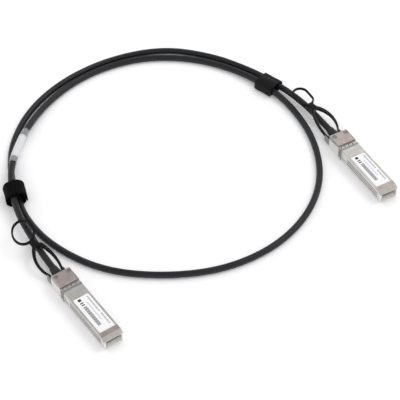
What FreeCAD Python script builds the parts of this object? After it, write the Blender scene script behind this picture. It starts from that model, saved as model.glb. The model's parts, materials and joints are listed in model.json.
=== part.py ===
"""Direct attach copper cable: two pluggable ends joined by one black cable.

Units are millimetres.  The cable lies in a loop on the floor plane z = 0.  Each plug is built
in its own frame (x from the rear of its head to its nose, y to its left, z up from the
underside of the head) and is then placed and turned on the floor.
"""
import FreeCAD, Part
import math
import os
import re
import Sketcher

V = FreeCAD.Vector

SIZES = {
    # plug body and head
    "plug_length": 60.6,
    "head_length": 11.4,
    "head_width": 13.8,
    "head_height": 10.3,
    "head_corner": 0.8,
    "cap_edge": 0.5,
    "body_width": 13.4,
    "body_height": 8.5,
    "body_lift": 0.5,
    "shell_wall": 1.1,
    "floor_wall": 1.2,
    "cover_thickness": 1.0,
    "rear_wall": 1.6,
    "bulkhead": 1.2,
    "cap_wall": 1.2,
    "cable_axis": 4.6,
    "fit_gap": 0.1,
    # nose
    "lip_length": 2.4,
    "lip_drop": 1.7,
    "lip_depth": 2.4,
    "nose_open": 9.0,
    # side grooves
    "groove_start": 22.0,
    "groove_end_margin": 3.6,
    "groove_width": 0.9,
    "groove_depth": 0.5,
    "groove_pitch": 1.8,
    "groove_first": 2.1,
    "step_length": 4.4,
    "step_depth": 0.3,
    # cover details
    "recess_start": 23.5,
    "recess_end_margin": 6.2,
    "recess_depth": 0.25,
    "recess_border": 1.0,
    "label_thickness": 0.1,
    "label_margin": 0.25,
    "locating_lip": 0.7,
    "locating_drop": 1.2,
    # rivets
    "rivet_inset_x": 3.0,
    "rivet_inset_y": 2.35,
    "rivet_head": 3.0,
    "rivet_head_height": 0.35,
    "rivet_recess": 0.5,
    "rivet_shank": 1.5,
    "rivet_depth": 3.6,
    "rivet_boss": 2.1,
    # spring-steel collar
    "collar_gap": 0.7,
    "collar_length": 3.0,
    "collar_band": 1.2,
    "collar_sheet": 0.2,
    "collar_bulge": 0.45,
    "collar_foot": 1.6,
    "finger_width": 2.3,
    "finger_pitch": 3.0,
    "side_finger_width": 1.7,
    "side_finger_pitch": 2.2,
    # paddle card and its parts
    "card_start": 24.0,
    "card_recess": 0.8,
    "card_thickness": 1.0,
    "card_underside": 4.1,
    "card_tongue": 9.2,
    "card_tongue_length": 7.4,
    "card_corner": 0.5,
    "ledge_width": 1.0,
    "pad_pitch": 0.8,
    "pad_width": 0.55,
    "pad_length": 3.2,
    "pad_height": 0.08,
    "chip_x": 36.0,
    "chip_length": 4.0,
    "chip_width": 5.0,
    "chip_height": 1.1,
    # cable, crimp and strain relief
    "cable_diameter": 4.4,
    "jacket_in_head": 6.5,
    "lead_a": 15.0,
    "lead_b": 19.0,
    "core_diameter": 0.95,
    "core_spacing": 1.1,
    "core_bend_start": 13.6,
    "core_bend_end": 21.5,
    "core_landing": 3.0,
    "core_upper_y": 2.3,
    "core_lower_y": 3.4,
    "wire_slot": 5.0,
    "ferrule_start": 3.6,
    "ferrule_length": 5.6,
    "ferrule_flats": 5.7,
    "boot_length": 9.0,
    "boot_gap": 0.12,
    "boot_root": 6.4,
    "boot_tip": 5.2,
    "boot_neck": 5.0,
    "boot_flange": 5.7,
    "boot_flange_length": 1.2,
    # latch slider and its spring
    "channel_depth": 0.95,
    "channel_width": 8.4,
    "slider_sheet": 0.5,
    "slider_lift": 0.25,
    "slider_width": 8.0,
    "latch_travel": 2.5,
    "lug_length": 5.6,
    "lug_gap": 0.4,
    "lug_height": 5.0,
    "post_from_nose": 41.8,
    "post_length": 2.6,
    "post_width": 2.4,
    "post_window": 3.4,
    "ramp_length": 2.2,
    "ramp_rise": 0.45,
    "spring_start": 24.1,
    "spring_length": 7.4,
    "spring_diameter": 2.0,
    "spring_wire": 0.35,
    "spring_turns": 5,
    "spring_room": 0.4,
    "spring_wall": 0.7,
    # pull tab
    "pin_diameter": 1.6,
    "pin_height": 3.0,
    "pin_back": 4.0,
    "eyelet_diameter": 3.8,
    "tab_width": 1.4,
    "tab_thickness": 1.3,
    "arm_inner": 4.1,
    "arm_width": 1.8,
    "arm_bulge": 7.1,
    "arm_bulge_x": 16.0,
    "neck_x": 27.4,
    "neck_length": 5.2,
    "neck_width": 7.0,
    "neck_waist": 4.4,
    "tab_height": 8.4,
    "ring_band": 1.2,
    "plug_a_arm_lean": -0.7,
    "plug_b_arm_lean": 1.2,
    "plug_a_ring_length": 19.9,
    "plug_b_ring_length": 18.2,
    "plug_a_ring_width": 15.0,
    "plug_b_ring_width": 11.6,
    "plug_a_ring_turn": -29.2,
    "plug_b_ring_turn": 0.0,
    "plug_a_ring_centre": 8.2,
    "plug_b_ring_centre": 9.1,
    "plug_a_ring_offset": -2.0,
    "plug_b_ring_offset": -0.8,
    "plug_a_ring_rise": 2.3,
    "plug_b_ring_rise": 0.5,
    # ties and cable label
    "tie_sheet": 1.0,
    "tail_sheet": 0.6,
    "left_tie_length": 12.6,
    "left_tie_width": 13.6,
    "left_tie_height": 11.5,
    "left_tie_corner": 5.2,
    "right_tie_length": 14.0,
    "right_tie_width": 13.4,
    "right_tie_height": 7.5,
    "right_tie_corner": 3.4,
    "sleeve_start": 112.5,
    "sleeve_length": 36.0,
    "sleeve_diameter": 5.7,
    "sleeve_wall": 0.2,
    "paper_length": 26.0,
    "paper_wall": 0.2,
    # where the plugs and ties lie
    "plug_a_x": -91.4,
    "plug_a_y": -57.0,
    "plug_a_turn": -54.6,
    "plug_b_x": 88.2,
    "plug_b_y": 65.9,
    "plug_b_turn": -59.8,
    "left_tie_x": -125.5,
    "left_tie_y": 13.2,
    "left_tie_turn": 105.0,
    "right_tie_x": 43.6,
    "right_tie_y": 120.5,
    "right_tie_turn": -40.0,
}

# The cable's route on the floor, from plug a to plug b, between its straight leads.
ROUTE = [
    (-110.9, -25.8, 5.0), (-121.5, -6.4, 6.9), (-127.6, 14.6, 8.3),
    (-129.9, 37.8, 8.2), (-122.4, 79.2, 3.7), (-105.8, 110.8, 2.3), (-81.6, 134.8, 2.2),
    (-49.1, 149.5, 2.2), (-15.1, 150.2, 2.2), (15.4, 140.0, 2.3), (40.7, 120.6, 3.9),
    (60.2, 97.6, 2.3), (73.6, 64.8, 2.2), (76.0, 28.8, 2.2), (64.7, -4.2, 2.2),
    (41.6, -31.7, 2.2), (8.9, -49.5, 2.2), (-29.1, -54.5, 2.2), (-66.1, -49.4, 2.2),
    (-97.0, -30.7, 2.2), (-115.8, -8.4, 2.3), (-124.3, 12.4, 4.1), (-130.9, 36.8, 2.3),
    (-131.7, 64.8, 2.2), (-121.8, 97.3, 2.2), (-100.5, 126.0, 2.2), (-69.6, 148.1, 2.2),
    (-31.6, 159.5, 2.2), (3.2, 151.9, 2.2), (28.2, 138.1, 2.5), (46.4, 122.6, 4.3),
    (64.2, 105.1, 4.0),
]
ARC_SHARE = 0.45  # share of the shorter run that each bend's arc takes
COIL_STEPS = 10  # facets in one turn of the return springs
WIRE_SIDES = 5  # facets round their wire

doc = FreeCAD.newDocument("direct_attach_cable")
sheet = doc.addObject("Spreadsheet::Sheet", "sizes")
for row, (alias, value) in enumerate(SIZES.items(), start=1):
    sheet.set(f"A{row}", alias)
    sheet.set(f"B{row}", str(value))
    sheet.setAlias(f"B{row}", alias)
doc.recompute()

# Heights and places that several pieces share, as sheet expressions in a plug's own frame.
BODY_TOP = "(body_lift + body_height)"
SEAT = f"({BODY_TOP} - cover_thickness)"
FLOOR = "(body_lift + floor_wall)"
HALF_BODY = "(body_width / 2)"
HALF_HEAD = "(head_width / 2)"
HALF_BAY = "(body_width / 2 - shell_wall)"
LIP_START = "(plug_length - lip_length)"
LIP_BOTTOM = f"({BODY_TOP} - lip_depth)"
CARD_TOP = "(card_underside + card_thickness)"
CARD_END = "(plug_length - card_recess)"
CARD_HALF = f"({HALF_BAY} - fit_gap)"
RECESS_END = "(plug_length - recess_end_margin)"
RECESS_HALF = f"({HALF_BODY} - recess_border)"
RIVET_Y = f"({HALF_HEAD} - rivet_inset_y)"
BOSS_HALF = "(rivet_boss / 2)"
BOSS_END = f"(rivet_inset_x + {BOSS_HALF})"
SLIDER_TOP = "(slider_lift + slider_sheet)"
POST_FRONT = "(plug_length - post_from_nose)"
SPRING_END = "(spring_start + spring_length)"
SPRING_AXIS = "(channel_depth + spring_diameter / 2 + fit_gap)"
SPRING_ROOF = f"({SPRING_AXIS} + spring_diameter / 2 + fit_gap)"
SPRING_HALF = "(spring_diameter / 2 + spring_room)"
TANG_END = f"({SPRING_END} + fit_gap + slider_sheet)"
CHANNEL_END = f"({TANG_END} + spring_room)"
LUG_OUT = "(arm_inner + tab_width + fit_gap + slider_sheet)"


def size(alias):
    """A driving size read back from the sheet."""
    return float(sheet.get(alias))


def bind(expression):
    """Turn a formula of plain aliases into one that reads the sheet."""
    return re.sub(r"[a-z][a-z_0-9]*", lambda word: "sizes." + word.group(0), expression)


def new_body(name):
    """A sub-part's own PartDesign body; its Label names the file."""
    body = doc.addObject("PartDesign::Body", name)
    body.Label = name
    return body


def new_sketch(body, name, plane, height="0"):
    """A sketch on one of the body's origin planes, moved along the plane's normal."""
    sketch = body.newObject("Sketcher::SketchObject", name)
    support = [item for item in body.Origin.OriginFeatures if item.Role == plane][0]
    sketch.AttachmentSupport = [(support, "")]
    sketch.MapMode = "FlatFace"
    sketch.setExpression("AttachmentOffset.Base.z", bind(height))
    return sketch


def dimension(sketch, kind, geometry, point, name, expression):
    """Tie a point's distance from the sketch origin to a formula."""
    index = sketch.addConstraint(Sketcher.Constraint(kind, -1, 1, geometry, point, 1.0))
    sketch.renameConstraint(index, name)
    sketch.setExpression("Constraints." + name, bind(expression))


def outline(sketch, corners):
    """A closed outline of straight edges through corners given as pairs of formulas."""
    first = sketch.GeometryCount
    count = len(corners)
    ring = [V(math.cos(2 * math.pi * i / count), math.sin(2 * math.pi * i / count), 0)
            for i in range(count)]
    for i in range(count):
        sketch.addGeometry(Part.LineSegment(ring[i], ring[(i + 1) % count]), False)
    for i in range(count):
        sketch.addConstraint(
            Sketcher.Constraint("Coincident", first + i, 2, first + (i + 1) % count, 1))
    for i, (across, up) in enumerate(corners):
        dimension(sketch, "DistanceX", first + i, 1, f"x{first + i}", across)
        dimension(sketch, "DistanceY", first + i, 1, f"y{first + i}", up)


def rectangle(sketch, low_x, low_y, high_x, high_y):
    """A rectangle between two corners given as formulas."""
    outline(sketch, [(low_x, low_y), (high_x, low_y), (high_x, high_y), (low_x, high_y)])


def circle(sketch, centre_x, centre_y, radius):
    """A circle whose centre and radius are formulas."""
    index = sketch.addGeometry(Part.Circle(V(0, 0, 0), V(0, 0, 1), 1.0), False)
    dimension(sketch, "DistanceX", index, 3, f"cx{index}", centre_x)
    dimension(sketch, "DistanceY", index, 3, f"cy{index}", centre_y)
    constraint = sketch.addConstraint(Sketcher.Constraint("Radius", index, 1.0))
    sketch.renameConstraint(constraint, f"r{index}")
    sketch.setExpression(f"Constraints.r{index}", bind(radius))


def feature(body, kind, sketch, length, midplane=False, backwards=False):
    """A Pad or Pocket of a sketch; a pocket has to make the body smaller."""
    before = body.Shape.Volume if body.Tip else 0.0
    item = body.newObject("PartDesign::" + kind, sketch.Name + "_" + kind.lower())
    item.Profile = sketch
    item.setExpression("Length", bind(length))
    item.Midplane = midplane
    item.Reversed = backwards
    sketch.Visibility = False
    doc.recompute()
    change = body.Shape.Volume - before
    if (kind == "Pocket" and change >= 0) or (kind == "Pad" and change <= 0):
        raise RuntimeError(f"{item.Name} changed the volume by {change:.4f}")
    return item


def block(body, name, low_x, low_y, high_x, high_y, low_z, high_z):
    """Pad a rectangle from one height to another."""
    sketch = new_sketch(body, name, "XY_Plane", low_z)
    rectangle(sketch, low_x, low_y, high_x, high_y)
    return feature(body, "Pad", sketch, f"{high_z} - ({low_z})")


def hollow(body, name, low_x, low_y, high_x, high_y, low_z, high_z):
    """Cut a rectangular space from one height down to another."""
    sketch = new_sketch(body, name, "XY_Plane", high_z)
    rectangle(sketch, low_x, low_y, high_x, high_y)
    return feature(body, "Pocket", sketch, f"{high_z} - ({low_z})")


def edges_where(shape, test):
    """Names of the edges that pass a test on their two end points."""
    names = []
    for index, edge in enumerate(shape.Edges, start=1):
        ends = [vertex.Point for vertex in edge.Vertexes]
        if len(ends) == 2 and test(ends[0], ends[1]):
            names.append(f"Edge{index}")
    return names


def round_edges(body, name, kind, radius, test):
    """A Fillet or Chamfer of the edges that pass a test."""
    base = body.Tip
    item = body.newObject("PartDesign::" + kind, name)
    item.Base = (base, edges_where(base.Shape, test))
    item.setExpression("Radius" if kind == "Fillet" else "Size", bind(radius))
    doc.recompute()
    return item


def finished(name, shape):
    """A sub-part whose shape comes from Part's own functions."""
    item = doc.addObject("Part::Feature", name)
    item.Label = name
    item.Shape = shape
    return item


def near(value, target):
    """True where two lengths are the same to a hundredth."""
    return abs(value - target) < 0.01


def lower_shell(name):
    """Die-cast lower half: head block, grooved body, open nose, slider channel, latch post."""
    body = new_body(name)
    block(body, name + "_head", "0", f"-{HALF_HEAD}", "head_length", HALF_HEAD, "0", SEAT)
    block(body, name + "_barrel", "head_length / 2", f"-{HALF_BODY}", "plug_length", HALF_BODY,
          "body_lift", SEAT)
    corner = size("head_width") / 2
    round_edges(body, name + "_corners", "Fillet", "head_corner",
                lambda a, b: near(a.x, 0) and near(b.x, 0) and near(abs(a.y), corner)
                and near(a.y, b.y))
    # card bay and head room, with the bulkhead between them
    hollow(body, name + "_bay", "head_length + bulkhead", f"-{HALF_BAY}", "plug_length + 1",
           HALF_BAY, FLOOR, SEAT)
    hollow(body, name + "_room", "rear_wall", f"-{HALF_BAY}", "head_length", HALF_BAY, FLOOR,
           SEAT)
    hollow(body, name + "_wire_slot", "head_length - 1", "-wire_slot / 2",
           "head_length + bulkhead + 1", "wire_slot / 2", "cable_axis - wire_slot / 2", SEAT)
    # slot in the rear wall for the neck of the strain relief
    slot = new_sketch(body, name + "_neck_slot", "YZ_Plane")
    rectangle(slot, "-(boot_neck / 2 + fit_gap)", "cable_axis", "boot_neck / 2 + fit_gap", SEAT)
    feature(body, "Pocket", slot, "rear_wall + fit_gap", backwards=True)
    bed = new_sketch(body, name + "_neck_bed", "YZ_Plane")
    circle(bed, "0", "cable_axis", "boot_neck / 2 + fit_gap")
    feature(body, "Pocket", bed, "rear_wall + fit_gap", backwards=True)
    # bosses that take the cover's rivets
    for side, sign in (("left", ""), ("right", "-")):
        boss = new_sketch(body, f"{name}_{side}_boss", "XY_Plane", "body_lift")
        rectangle(boss, "rear_wall / 2", f"{sign}({RIVET_Y} - {BOSS_HALF})", BOSS_END,
                  f"{sign}({HALF_BAY} + shell_wall / 2)")
        feature(body, "Pad", boss, f"{SEAT} - body_lift")
        hole = new_sketch(body, f"{name}_{side}_hole", "XY_Plane", SEAT)
        circle(hole, "rivet_inset_x", sign + RIVET_Y, "rivet_shank / 2 + fit_gap / 2")
        feature(body, "Pocket", hole, "rivet_depth + fit_gap")
    # ledges that carry the paddle card
    for side, sign in (("left", ""), ("right", "-")):
        ledge = new_sketch(body, f"{name}_{side}_ledge", "XY_Plane", "body_lift")
        rectangle(ledge, "card_start", f"{sign}({HALF_BAY} - ledge_width)",
                  "plug_length - nose_open", f"{sign}({HALF_BAY} + shell_wall / 2)")
        feature(body, "Pad", ledge, "card_underside - body_lift")
    # housing of the return spring, standing in the bay
    block(body, name + "_spring_box", "spring_start - spring_wall",
          f"-({SPRING_HALF} + spring_wall)", f"{CHANNEL_END} + spring_wall",
          f"{SPRING_HALF} + spring_wall", "body_lift + floor_wall / 2",
          f"{SPRING_ROOF} + spring_wall / 2")
    hollow(body, name + "_spring_room", "spring_start", f"-{SPRING_HALF}", CHANNEL_END,
           SPRING_HALF, "0", SPRING_ROOF)
    # channel for the latch slider, and the post that locks the plug in its cage
    hollow(body, name + "_channel", "-1", "-channel_width / 2", CHANNEL_END,
           "channel_width / 2", "0", "channel_depth")
    post = new_sketch(body, name + "_latch_post", "XY_Plane")
    outline(post, [(f"{POST_FRONT} - post_length", "-post_width / 2"), (POST_FRONT, "0"),
                   (f"{POST_FRONT} - post_length", "post_width / 2")])
    feature(body, "Pad", post, "channel_depth + floor_wall / 4")
    # nose: open underside, and prongs that carry the cover's lip
    hollow(body, name + "_nose_floor", "plug_length - nose_open", f"-{HALF_BAY}",
           "plug_length + 1", HALF_BAY, "body_lift - 1", FLOOR)
    hollow(body, name + "_lip_seat", LIP_START, f"-{HALF_BODY} - 1", "plug_length + 1",
           f"{HALF_BODY} + 1", LIP_BOTTOM, SEAT)
    # long grooves and the shallow step behind them, on both sides
    sides = new_sketch(body, name + "_grooves", "XZ_Plane", HALF_BODY)
    for turn in range(3):
        low = f"(groove_first + {turn} * groove_pitch)"
        rectangle(sides, "groove_start", low, "plug_length - groove_end_margin",
                  f"{low} + groove_width")
    cut = feature(body, "Pocket", sides, "groove_depth")
    step = new_sketch(body, name + "_side_step", "XZ_Plane", HALF_BODY)
    rectangle(step, "groove_start - 1.2 - step_length", "groove_first", "groove_start - 1.2",
              "groove_first + 2 * groove_pitch + groove_width")
    ease = feature(body, "Pocket", step, "step_depth")
    mirror = body.newObject("PartDesign::Mirrored", name + "_other_side")
    mirror.Originals = [cut, ease]
    plane = [item for item in body.Origin.OriginFeatures if item.Role == "XZ_Plane"][0]
    mirror.MirrorPlane = (plane, [""])
    body.Tip = mirror
    doc.recompute()
    return body


def top_cover(name):
    """Cover plate with the raised head cap, the label recess and the chamfered nose lip."""
    body = new_body(name)
    block(body, name + "_plate", "head_length / 2", f"-{HALF_BODY}", LIP_START, HALF_BODY, SEAT,
          BODY_TOP)
    block(body, name + "_cap", "0", f"-{HALF_HEAD}", "head_length", HALF_HEAD, SEAT,
          "head_height")
    corner = size("head_width") / 2
    round_edges(body, name + "_corners", "Fillet", "head_corner",
                lambda a, b: near(a.x, 0) and near(b.x, 0) and near(abs(a.y), corner)
                and near(a.y, b.y))
    top = size("head_height")
    round_edges(body, name + "_cap_edge", "Chamfer", "cap_edge",
                lambda a, b: near(a.z, top) and near(b.z, top))
    lip = new_sketch(body, name + "_lip", "XZ_Plane")
    outline(lip, [(LIP_START, LIP_BOTTOM), ("plug_length", LIP_BOTTOM),
                  ("plug_length", f"{BODY_TOP} - lip_drop"), (LIP_START, BODY_TOP)])
    feature(body, "Pad", lip, "body_width", midplane=True)
    for side, sign in (("left", ""), ("right", "-")):
        rail = new_sketch(body, f"{name}_{side}_rail", "XY_Plane", f"{SEAT} - locating_drop")
        rectangle(rail, "head_length + bulkhead + fit_gap",
                  f"{sign}({CARD_HALF} - locating_lip)", f"{LIP_START} - fit_gap",
                  sign + CARD_HALF)
        feature(body, "Pad", rail, "locating_drop + cover_thickness / 4")
    hollow(body, name + "_recess", "recess_start", f"-{RECESS_HALF}", RECESS_END, RECESS_HALF,
           f"{BODY_TOP} - recess_depth", BODY_TOP)
    # room under the cap, narrower between the rivets
    room = new_sketch(body, name + "_cap_room", "XY_Plane", "head_height - cap_wall")
    narrow = f"({RIVET_Y} - {BOSS_HALF})"
    outline(room, [("rear_wall", f"-{narrow}"), (BOSS_END, f"-{narrow}"),
                   (BOSS_END, f"-{HALF_BAY}"), ("head_length - cap_wall", f"-{HALF_BAY}"),
                   ("head_length - cap_wall", HALF_BAY), (BOSS_END, HALF_BAY),
                   (BOSS_END, narrow), ("rear_wall", narrow)])
    feature(body, "Pocket", room, f"head_height - cap_wall - {SEAT}")
    for side, sign in (("left", ""), ("right", "-")):
        dimple = new_sketch(body, f"{name}_{side}_dimple", "XY_Plane", "head_height")
        circle(dimple, "rivet_inset_x", sign + RIVET_Y, "rivet_head / 2 + fit_gap")
        feature(body, "Pocket", dimple, "rivet_recess")
        hole = new_sketch(body, f"{name}_{side}_hole", "XY_Plane", "head_height")
        circle(hole, "rivet_inset_x", sign + RIVET_Y, "rivet_shank / 2 + fit_gap / 2")
        feature(body, "Pocket", hole, f"head_height - {SEAT} + 1")
    return body


def cover_rivets(name):
    """The two rivets that hold the cover's cap to the head."""
    top = size("head_height") - size("rivet_recess")
    seat = size("body_lift") + size("body_height") - size("cover_thickness")
    across = size("head_width") / 2 - size("rivet_inset_y")
    rivets = []
    for sign in (1, -1):
        centre = V(size("rivet_inset_x"), sign * across, 0)
        head = Part.makeCone(size("rivet_head") / 2, size("rivet_head") / 2.6,
                             size("rivet_head_height"), centre + V(0, 0, top))
        bottom = seat - size("rivet_depth")
        shank = Part.makeCylinder(size("rivet_shank") / 2, top - bottom,
                                  centre + V(0, 0, bottom))
        rivets.append(head.fuse(shank).removeSplitter())
    return finished(name, Part.makeCompound(rivets))


def finger(width):
    """One bent spring finger on the plane z = 0: x runs forward, z stands off the body."""
    sheet_metal = size("collar_sheet")
    crest = size("collar_bulge") + sheet_metal
    free = size("collar_length") - size("collar_band")
    outer = [V(free, 0, sheet_metal), V(free * 0.35, 0, crest), V(0, 0, sheet_metal * 1.5)]
    inner = [V(0, 0, sheet_metal * 0.5), V(free * 0.35, 0, crest - sheet_metal), V(free, 0, 0)]
    strip = Part.Face(Part.makePolygon([V(free + 0.3, 0, sheet_metal)] + outer + inner
                                       + [V(free + 0.3, 0, 0), V(free + 0.3, 0, sheet_metal)]))
    return strip.extrude(V(0, width, 0)).translated(V(0, -width / 2, 0))


def emi_collar(name):
    """Spring-steel collar ahead of the head: a band open underneath, with bent fingers."""
    sheet_metal = size("collar_sheet")
    half = size("body_width") / 2
    low = size("body_lift")
    top = low + size("body_height")
    start = size("head_length") + size("collar_gap")
    band_start = start + size("collar_length") - size("collar_band")
    outer = Part.makeBox(size("collar_band"), 2 * (half + sheet_metal),
                         top - low + 2 * sheet_metal,
                         V(band_start, -half - sheet_metal, low - sheet_metal))
    inner = Part.makeBox(size("collar_band") + 2, 2 * half, top - low,
                         V(band_start - 1, -half, low))
    mouth = Part.makeBox(size("collar_band") + 2, 2 * (half - size("collar_foot")), 2,
                         V(band_start - 1, -half + size("collar_foot"), low - 1))
    band = outer.cut(inner).cut(mouth)
    strips = []
    for index in range(4):
        across = (index - 1.5) * size("finger_pitch")
        strips.append(finger(size("finger_width")).translated(V(start, across, top)))
    for sign in (1, -1):
        for index in range(3):
            up = (low + top) / 2 + (index - 1) * size("side_finger_pitch")
            side = finger(size("side_finger_width"))
            side.rotate(V(0, 0, 0), V(1, 0, 0), -90 * sign)
            strips.append(side.translated(V(start, sign * half, up)))
    return finished(name, band.multiFuse(strips).removeSplitter())


def paddle_card(name):
    """Circuit card on the shell's ledges, with its narrower tongue in the open nose."""
    body = new_body(name)
    shoulder = f"({CARD_END} - card_tongue_length)"
    half_tongue = "(card_tongue / 2)"
    sketch = new_sketch(body, name + "_outline", "XY_Plane", "card_underside")
    outline(sketch, [("card_start", f"-{CARD_HALF}"), (shoulder, f"-{CARD_HALF}"),
                     (f"{shoulder} + card_corner", f"-{half_tongue}"),
                     (f"{CARD_END} - card_corner", f"-{half_tongue}"),
                     (CARD_END, f"-({half_tongue} - card_corner)"),
                     (CARD_END, f"{half_tongue} - card_corner"),
                     (f"{CARD_END} - card_corner", half_tongue),
                     (f"{shoulder} + card_corner", half_tongue), (shoulder, CARD_HALF),
                     ("card_start", CARD_HALF)])
    feature(body, "Pad", sketch, "card_thickness")
    return body


def contact_pads(name):
    """Gold contacts on both faces of the card's tongue."""
    front = size("plug_length") - size("card_recess") - size("card_corner")
    under = size("card_underside") - size("pad_height")
    over = size("card_underside") + size("card_thickness")
    pads = []
    for index in range(10):
        across = (index - 4.5) * size("pad_pitch") - size("pad_width") / 2
        for height in (under, over):
            pads.append(Part.makeBox(size("pad_length"), size("pad_width"), size("pad_height"),
                                     V(front - size("pad_length"), across, height)))
    return finished(name, Part.makeCompound(pads))


def memory_chip(name):
    """Small memory chip on top of the card."""
    body = new_body(name)
    block(body, name + "_case", "chip_x", "-chip_width / 2", "chip_x + chip_length",
          "chip_width / 2", CARD_TOP, f"{CARD_TOP} + chip_height")
    top = size("card_underside") + size("card_thickness") + size("chip_height")
    round_edges(body, name + "_bevel", "Chamfer", "chip_height / 5",
                lambda a, b: near(a.z, top) and near(b.z, top))
    return body


def rounded_path(points, share):
    """Straight runs joined by tangent arcs, each as large as its shorter run allows."""
    edges = []
    radii = []
    here = points[0]
    for before, corner, after in zip(points, points[1:], points[2:]):
        back = (before - corner).normalize()
        ahead = (after - corner).normalize()
        half_turn = (math.pi - back.getAngle(ahead)) / 2
        reach = share * min((before - corner).Length, (after - corner).Length)
        radius = reach / math.tan(half_turn)
        radii.append(radius)
        start = corner + back * reach
        end = corner + ahead * reach
        inward = (back + ahead).normalize()
        middle = corner + inward * (radius / math.cos(half_turn) - radius)
        edges.append(Part.LineSegment(here, start).toShape())
        edges.append(Part.Arc(start, middle, end).toShape())
        here = end
    edges.append(Part.LineSegment(here, points[-1]).toShape())
    return Part.Wire(edges), radii


def tube(points, diameter, share=ARC_SHARE):
    """A round rod swept along a rounded path; returns it with its length and radii."""
    path, radii = rounded_path(points, share)
    ahead = (points[1] - points[0]).normalize()
    ring = Part.Wire([Part.Circle(points[0], ahead, diameter / 2).toShape()])
    rod = path.makePipeShell([ring], True, False)
    return rod, path.Length, radii


def bent_rod(points, diameter):
    """A round rod along straight runs that meet in mitred bends."""
    ahead = (points[1] - points[0]).normalize()
    ring = Part.Wire([Part.Circle(points[0], ahead, diameter / 2).toShape()])
    return Part.makePolygon(points).makePipeShell([ring], True, False, 1)


def core_wires(name):
    """Four insulated cores that fan out from the cable to both faces of the card."""
    axis = size("cable_axis")
    step = size("core_spacing") / 2
    radius = size("core_diameter") / 2
    card_top = size("card_underside") + size("card_thickness")
    begin = size("jacket_in_head") + size("fit_gap")
    end = size("card_start") + size("core_landing")
    cores = []
    for sign in (1, -1):
        for level, across, height in ((1, size("core_upper_y"), card_top + radius),
                                      (-1, size("core_lower_y"),
                                       size("card_underside") - radius)):
            gap = level * size("fit_gap") / 2
            points = [V(begin, sign * step, axis + level * step),
                      V(size("core_bend_start"), sign * step, axis + level * step),
                      V(size("core_bend_end"), sign * across, height + gap),
                      V(end, sign * across, height + gap)]
            cores.append(bent_rod(points, size("core_diameter")))
    return finished(name, Part.makeCompound(cores))


def crimp_ferrule(name):
    """Six-sided crimp that grips the cable in the head."""
    body = new_body(name)
    sketch = new_sketch(body, name + "_section", "YZ_Plane", "ferrule_start")
    flat = "(ferrule_flats / 2)"
    corner = "(ferrule_flats / 3 ^ 0.5)"
    outline(sketch, [(f"{corner} / 2", f"cable_axis + {flat}"), (corner, "cable_axis"),
                     (f"{corner} / 2", f"cable_axis - {flat}"),
                     (f"-{corner} / 2", f"cable_axis - {flat}"), (f"-{corner}", "cable_axis"),
                     (f"-{corner} / 2", f"cable_axis + {flat}")])
    circle(sketch, "0", "cable_axis", "cable_diameter / 2 + fit_gap / 2")
    feature(body, "Pad", sketch, "ferrule_length")
    return body


def strain_relief(name):
    """Moulded boot round the cable, held by its flange behind the head's rear wall."""
    body = new_body(name)
    sketch = new_sketch(body, name + "_section", "XZ_Plane")
    sketch.setExpression("AttachmentOffset.Base.y", bind("cable_axis"))
    bore = "(cable_diameter / 2 + boot_gap)"
    outline(sketch, [("-boot_length", bore), ("-boot_length", "boot_tip / 2 - fit_gap"),
                     ("-boot_length + fit_gap", "boot_tip / 2"),
                     ("-boot_length / 3", "boot_root / 2"), ("0", "boot_root / 2"),
                     ("0", "boot_neck / 2"), ("rear_wall", "boot_neck / 2"),
                     ("rear_wall", "boot_flange / 2"),
                     ("rear_wall + boot_flange_length", "boot_flange / 2"),
                     ("rear_wall + boot_flange_length", bore)])
    item = body.newObject("PartDesign::Revolution", name + "_turned")
    item.Profile = sketch
    item.ReferenceAxis = (sketch, ["H_Axis"])
    item.Angle = 360
    doc.recompute()
    return body


def latch_slider(name):
    """Stamped slider under the plug: release ramps, spring tang, and lugs for the pull tab."""
    body = new_body(name)
    back = "-(lug_gap + lug_length)"
    half = "(slider_width / 2)"
    block(body, name + "_plate", back, f"-{half}", TANG_END, half, "slider_lift", SLIDER_TOP)
    block(body, name + "_wings", back, f"-{LUG_OUT}", "-lug_gap", LUG_OUT, "slider_lift",
          SLIDER_TOP)
    for side, sign in (("left", ""), ("right", "-")):
        block(body, f"{name}_{side}_lug", back, f"{sign}({LUG_OUT} - slider_sheet)", "-lug_gap",
              f"{sign}{LUG_OUT}", "slider_lift", "lug_height")
        pin = new_sketch(body, f"{name}_{side}_pin", "XZ_Plane",
                         f"-({LUG_OUT})" if sign == "" else LUG_OUT)
        circle(pin, "-pin_back", "pin_height", "pin_diameter / 2")
        feature(body, "Pad", pin, "slider_sheet + fit_gap + tab_width", backwards=(sign != ""))
    # window round the latch post, and the two ramps beside it
    hollow(body, name + "_window", f"{POST_FRONT} - post_length - latch_travel / 2",
           "-post_window / 2", f"{POST_FRONT} + latch_travel + fit_gap", "post_window / 2",
           "0", SLIDER_TOP)
    for side, sign in (("left", ""), ("right", "-")):
        ramp = new_sketch(body, f"{name}_{side}_ramp", "XZ_Plane",
                          f"-({sign}(post_window / 2 + slider_sheet))")
        outline(ramp, [(f"{POST_FRONT} - ramp_length", "slider_lift"),
                       (POST_FRONT, "slider_lift - ramp_rise / 2"),
                       (f"{POST_FRONT} + ramp_length / 3", "slider_lift - ramp_rise / 2"),
                       (f"{POST_FRONT} + ramp_length / 3", "slider_lift + slider_sheet / 2"),
                       (f"{POST_FRONT} - ramp_length", "slider_lift + slider_sheet / 2")])
        feature(body, "Pad", ramp, "slider_sheet * 2", midplane=True)
    block(body, name + "_tang", f"{TANG_END} - slider_sheet", "-spring_diameter / 2", TANG_END,
          "spring_diameter / 2", "slider_lift", f"{SPRING_AXIS} + spring_diameter / 3")
    return body


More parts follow.
